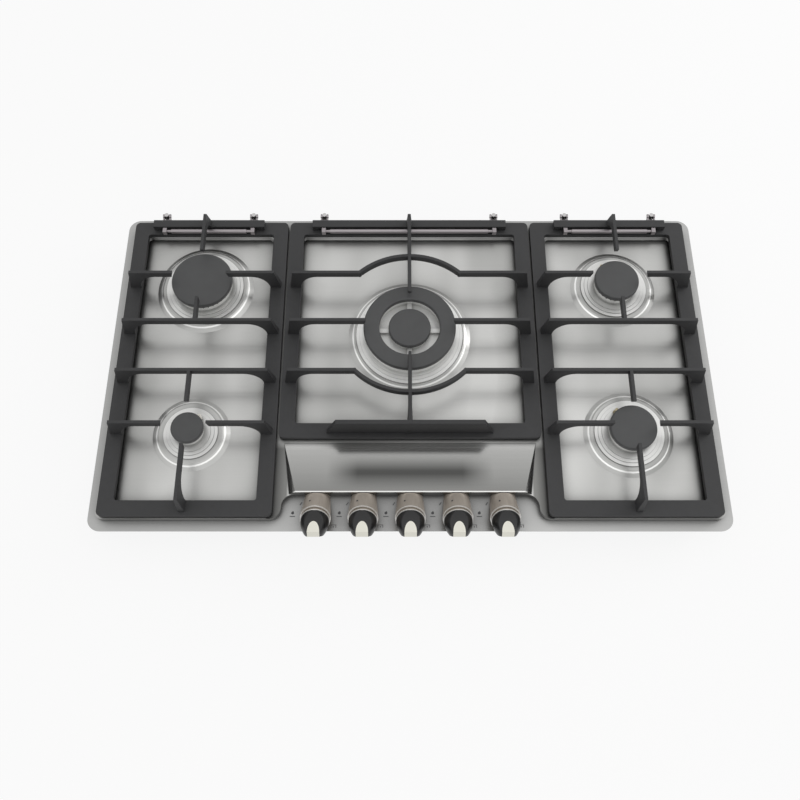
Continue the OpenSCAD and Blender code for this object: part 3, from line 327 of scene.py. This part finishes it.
PLATE = brushed_plate()
ZINC = sheet_steel("zinc_sheet", "aeb0b2", 0.38)
FIXING = turned_metal("fixing_steel", "a5a7a9", 0.35)
CHROME = turned_metal("satin_chrome", "c4c2c2", 0.2, 0.04)
BRIGHT = turned_metal("bright_trim", "f0eeea", 0.3, 0.02, 0.4)
ROD = turned_metal("satin_rod", "9a9597", 0.32, 0.04)
STEM = turned_metal("stem_steel", "b4b5b6", 0.3)
BRASS = turned_metal("brass", "c9a659", 0.28)
ALLOY = cast_alloy("burner_alloy", "dededc")
BRIGHT_ALLOY = cast_alloy("bright_alloy", "f8f8f6", 0.3, "a4a4a2")
VALVE = cast_alloy("valve_alloy", "b4b6b8")
IRON = cast_iron()
CAP = cap_enamel()
KNOB = plastic("knob_black", "121213", 0.30)
IVORY = plastic("knob_ivory", "f4f2e6", 0.30, 0.02)
RUBBER = plastic("rubber", "1c1c1c", 0.75, 0.2, 300)
FOAM = plastic("seal_foam", "262626", 0.9, 0.3, 900)
DARK = plastic("dark_plastic", "303132", 0.45)
PALE = plastic("pale_plastic", "dedcd6", 0.5, 0.04)
BEZEL = bezel_metal()
PORCELAIN = glaze("porcelain", "efece4")
SENSOR = turned_metal("sensor_metal", "a99f84", 0.35)
PRINT = plastic("printed_mark", "3c3c3e", 0.5)

COVERS = {
    "top_plate": PLATE, "burner_box": ZINC, "worktop_seal": FOAM, "worktop_clamps": ZINC,
    "clamp_screws": FIXING, "stud_nuts": FIXING, "gas_rail": ZINC, "gas_inlet": BRASS,
    "gas_pipes": VALVE, "injectors": BRASS, "ignition_unit": PALE, "terminal_box": DARK,
    "electrodes": PORCELAIN, "flame_sensors": SENSOR, "gas_valves": VALVE, "burner_screws": FIXING,
    "knob_bezels": BEZEL, "bezel_rings": BRIGHT, "valve_stem": STEM, "knob_insert": IVORY,
    "knob": KNOB, "cup": ALLOY, "crown": ALLOY, "crown_centre": BRIGHT_ALLOY, "cup_centre": BRIGHT_ALLOY,
    "cap": CAP, "grate": IRON, "feet": RUBBER,
    "hinge_rod": ROD, "hinge_posts": CHROME, "hinge_bushes": RUBBER,
}


def cover_of(node):
    """The material of a node: its own entry, or that of the longest entry its name starts with."""
    keys = [key for key in COVERS if node.startswith(key)]
    return COVERS[max(keys, key=len)]


def dress(node, material):
    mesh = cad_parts[node].data
    mesh.materials.clear()
    mesh.materials.append(material)


for node_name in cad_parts:
    dress(node_name, cover_of(node_name))


# Soft edges and smooth curves on the carried-over solids
def soften(node, width, segments=2, angle=35):
    """Rounds a node's edges and shades its curves smoothly."""
    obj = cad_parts[node]
    for face in obj.data.polygons:
        face.use_smooth = True
    if width:
        bevel = obj.modifiers.new("edges", "BEVEL")
        bevel.width = width
        bevel.segments = segments
        bevel.limit_method = "ANGLE"
        bevel.angle_limit = math.radians(angle)
        bevel.harden_normals = True
        bevel.use_clamp_overlap = True
        bevel.miter_outer = "MITER_ARC"
    else:
        sharp = obj.modifiers.new("split", "EDGE_SPLIT")
        sharp.split_angle = math.radians(angle)


EDGES = {"top_plate": 0.0010, "grate": 0.0009, "cap": 0.0, "crown": 0.0, "cup": 0.0003, "knob_bezels": 0.0004,
         "hinge_rod": 0.0003, "feet": 0.0004}
for node_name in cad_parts:
    widths = [width for key, width in EDGES.items() if node_name.startswith(key)]
    soften(node_name, widths[0] if widths else 0.0)


# Small pieces
def new_piece(name, material, body, build):
    """A mesh piece made by build(bmesh) in the row frame."""
    mesh = bpy.data.meshes.new(name)
    form = bmesh.new()
    build(form)
    bmesh.ops.recalc_face_normals(form, faces=form.faces)
    form.to_mesh(mesh)
    form.free()
    obj = bpy.data.objects.new(name, mesh)
    bpy.context.scene.collection.objects.link(obj)
    mesh.materials.append(material)
    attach(obj, body)


def flat_shape(form, outline, lift, thick):
    """A thin raised print on the strip, from an outline in millimetres."""
    lower = [form.verts.new(hob(x, y, lift)) for x, y in outline]
    upper = [form.verts.new(hob(x, y, lift + thick)) for x, y in outline]
    count = len(outline)
    form.faces.new(lower[::-1])
    form.faces.new(upper)
    for i in range(count):
        j = (i + 1) % count
        form.faces.new((lower[i], lower[j], upper[j], upper[i]))


KNOB_PITCH = 65.2
RING_AT = (-241.5, 19.5)
PRINT_LIFT = 0.0
PRINT_THICK = 0.06


def disc(cx, cy, r, count=20):
    return [(cx + r * math.cos(2 * math.pi * i / count), cy + r * math.sin(2 * math.pi * i / count))
            for i in range(count)]


def bar(cx, cy, length, width, turn):
    c, s = math.cos(turn), math.sin(turn)
    corners = [(-length / 2, -width / 2), (length / 2, -width / 2), (length / 2, width / 2), (-length / 2, width / 2)]
    return [(cx + c * u - s * v, cy + s * u + c * v) for u, v in corners]


def flame(cx, cy, size):
    """A plain drop-shaped flame outline."""
    points = []
    for i in range(24):
        a = 2 * math.pi * i / 24
        lean = 0.18 * size * math.sin(a) ** 2 if math.sin(a) > 0 else 0
        stretch = 1.35 if math.sin(a) > 0 else 0.85
        narrow = 1 - 0.55 * max(0, math.sin(a)) ** 2
        points.append((cx + lean + 0.5 * size * narrow * math.cos(a), cy + 0.5 * size * stretch * math.sin(a)))
    return points


def printed_marks(form):
    for k in range(5):
        x = (k - 2) * KNOB_PITCH
        flat_shape(form, bar(x - 23, -216, 5.0, 1.3, math.radians(55)), PRINT_LIFT, PRINT_THICK)
        flat_shape(form, flame(x - 34, -229.5, 4.2), PRINT_LIFT, PRINT_THICK)
        flat_shape(form, bar(x - 34, -234.3, 7.4, 1.1, 0), PRINT_LIFT, PRINT_THICK)
        for across, along in ((20.3, 0), (27.0, 0), (23.65, 1)):
            length, width = (0.8, 4.2) if along == 0 else (7.4, 0.8)
            shift = 0 if along == 0 else 1.8
            flat_shape(form, bar(x + across, -248.1 + shift, length, width, 0), PRINT_LIFT, PRINT_THICK)
        flat_shape(form, disc(x + 23.6, -249.0, 0.9), PRINT_LIFT, PRINT_THICK)


new_piece("strip_marks", PRINT, "plate", printed_marks)


def on_knob(k, across, up, out):
    """A place in millimetres in knob k's own axes, from the middle of its bezel's rim."""
    start = hob((k - 2) * KNOB_PITCH, *RING_AT)
    return start + Vector((across / 1000, 0, 0)) + KNOB_UP * (up / 1000) + KNOB_AXIS * (out / 1000)


RING_BACK = 0.0049
RING_FRONT = 0.0064
RING_INNER = 0.018
SKIRT_INNER = 0.0165


def ring_faces(k):
    """Gives the thin ring round knob k's foot its bright metal, and the skirt behind it the bezel's finish."""
    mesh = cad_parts["knob_%d" % (k + 1)].data
    mesh.materials.append(BRIGHT)
    mesh.materials.append(BEZEL)
    start = on_knob(k, 0, 0, 0)
    for face in mesh.polygons:
        arm = face.center - start
        out = arm.dot(KNOB_AXIS)
        away = (arm - KNOB_AXIS * out).length
        if RING_BACK < out < RING_FRONT and away > RING_INNER:
            face.material_index = 1
        elif out < RING_BACK and away > SKIRT_INNER:
            face.material_index = 2


def small_disc(form, centre, facing, r, thick, count=24):
    """A thin disc lying on a surface that faces the given way."""
    facing = facing.normalized()
    side = facing.orthogonal().normalized()
    other = facing.cross(side)
    rings = []
    for lift in (-thick, thick):
        rings.append([form.verts.new(centre + facing * lift + (side * math.cos(2 * math.pi * i / count)
                                     + other * math.sin(2 * math.pi * i / count)) * r) for i in range(count)])
    form.faces.new(rings[0][::-1])
    form.faces.new(rings[1])
    for i in range(count):
        j = (i + 1) % count
        form.faces.new((rings[0][i], rings[0][j], rings[1][j], rings[1][i]))


DOT_TURN = math.radians(113)
DOT_BACK = 14.5
DOT_R = 0.0013
DOT_THICK = 0.0003
BEZEL_R = 21.0
BEZEL_TAPER = 0.14 / 44


def index_dots(form):
    r = BEZEL_R * (1 - BEZEL_TAPER * DOT_BACK)
    for k in range(5):
        centre = on_knob(k, r * math.cos(DOT_TURN), r * math.sin(DOT_TURN), -DOT_BACK)
        facing = centre - on_knob(k, 0, 0, -DOT_BACK)
        small_disc(form, centre, facing, DOT_R, DOT_THICK)


new_piece("index_dots", PRINT, "plate", index_dots)
for knob_index in range(5):
    ring_faces(knob_index)


# Studio
def panel(name, at, look, width, height, power):
    """A soft rectangular lamp."""
    data = bpy.data.lights.new(name, "AREA")
    data.shape = "RECTANGLE"
    data.size = width
    data.size_y = height
    data.energy = power
    data.spread = math.pi
    lamp = bpy.data.objects.new(name, data)
    lamp.location = at
    direction = Vector(look) - Vector(at)
    lamp.rotation_euler = direction.to_track_quat("-Z", "Y").to_euler()
    bpy.context.scene.collection.objects.link(lamp)


panel("right_panel", (1.9, 0.95, 1.2), (0, 0, 0.06), 1.0, 1.2, 9)
panel("top_panel", (0.2, -0.3, 2.4), (0, 0, 0.06), 2.4, 1.6, 6)

world = bpy.data.worlds.new("studio")
bpy.context.scene.world = world
world.use_nodes = True
tree = world.node_tree
tree.nodes.clear()
light_path = tree.nodes.new("ShaderNodeLightPath")
soft = tree.nodes.new("ShaderNodeBackground")
soft.inputs["Color"].default_value = (1, 1, 1, 1)
soft.inputs["Strength"].default_value = 0.66
white = tree.nodes.new("ShaderNodeBackground")
white.inputs["Color"].default_value = (1, 1, 1, 1)
white.inputs["Strength"].default_value = 1.0
choose = tree.nodes.new("ShaderNodeMixShader")
world_out = tree.nodes.new("ShaderNodeOutputWorld")
seen = light_path.outputs["Is Camera Ray"]
for ray in ("Is Glossy Ray", "Is Transmission Ray"):
    either = tree.nodes.new("ShaderNodeMath")
    either.operation = "MAXIMUM"
    tree.links.new(seen, either.inputs[0])
    tree.links.new(light_path.outputs[ray], either.inputs[1])
    seen = either.outputs[0]
tree.links.new(seen, choose.inputs[0])
tree.links.new(soft.outputs[0], choose.inputs[1])
tree.links.new(white.outputs[0], choose.inputs[2])
tree.links.new(choose.outputs[0], world_out.inputs["Surface"])


def floor_material():
    """Pale floor that reads as white to the camera and keeps the object's shadow."""
    n = Nodes("floor")
    path = n.add("LightPath")
    diffuse = n.add("BsdfDiffuse")
    diffuse.inputs["Color"].default_value = (0.9, 0.9, 0.9, 1)
    glow = n.add("Emission")
    glow.inputs["Strength"].default_value = 1.0
    seen = n.math("MAXIMUM", path.outputs["Is Camera Ray"], path.outputs["Is Glossy Ray"])
    share = n.math("MULTIPLY", seen, 0.86)
    mixed = n.add("MixShader")
    n.feed(mixed, "0", share)
    n.tree.links.new(diffuse.outputs[0], mixed.inputs[1])
    n.tree.links.new(glow.outputs[0], mixed.inputs[2])
    n.tree.links.new(mixed.outputs[0], n.output.inputs["Surface"])
    return n.material


FLOOR_REACH = 6.0
floor_mesh = bpy.data.meshes.new("floor")
floor_corners = [(-FLOOR_REACH, -FLOOR_REACH, 0), (FLOOR_REACH, -FLOOR_REACH, 0),
                 (FLOOR_REACH, FLOOR_REACH, 0), (-FLOOR_REACH, FLOOR_REACH, 0)]
floor_mesh.from_pydata(floor_corners, [], [(0, 1, 2, 3)])
floor = bpy.data.objects.new("floor", floor_mesh)
bpy.context.scene.collection.objects.link(floor)
floor_mesh.materials.append(floor_material())
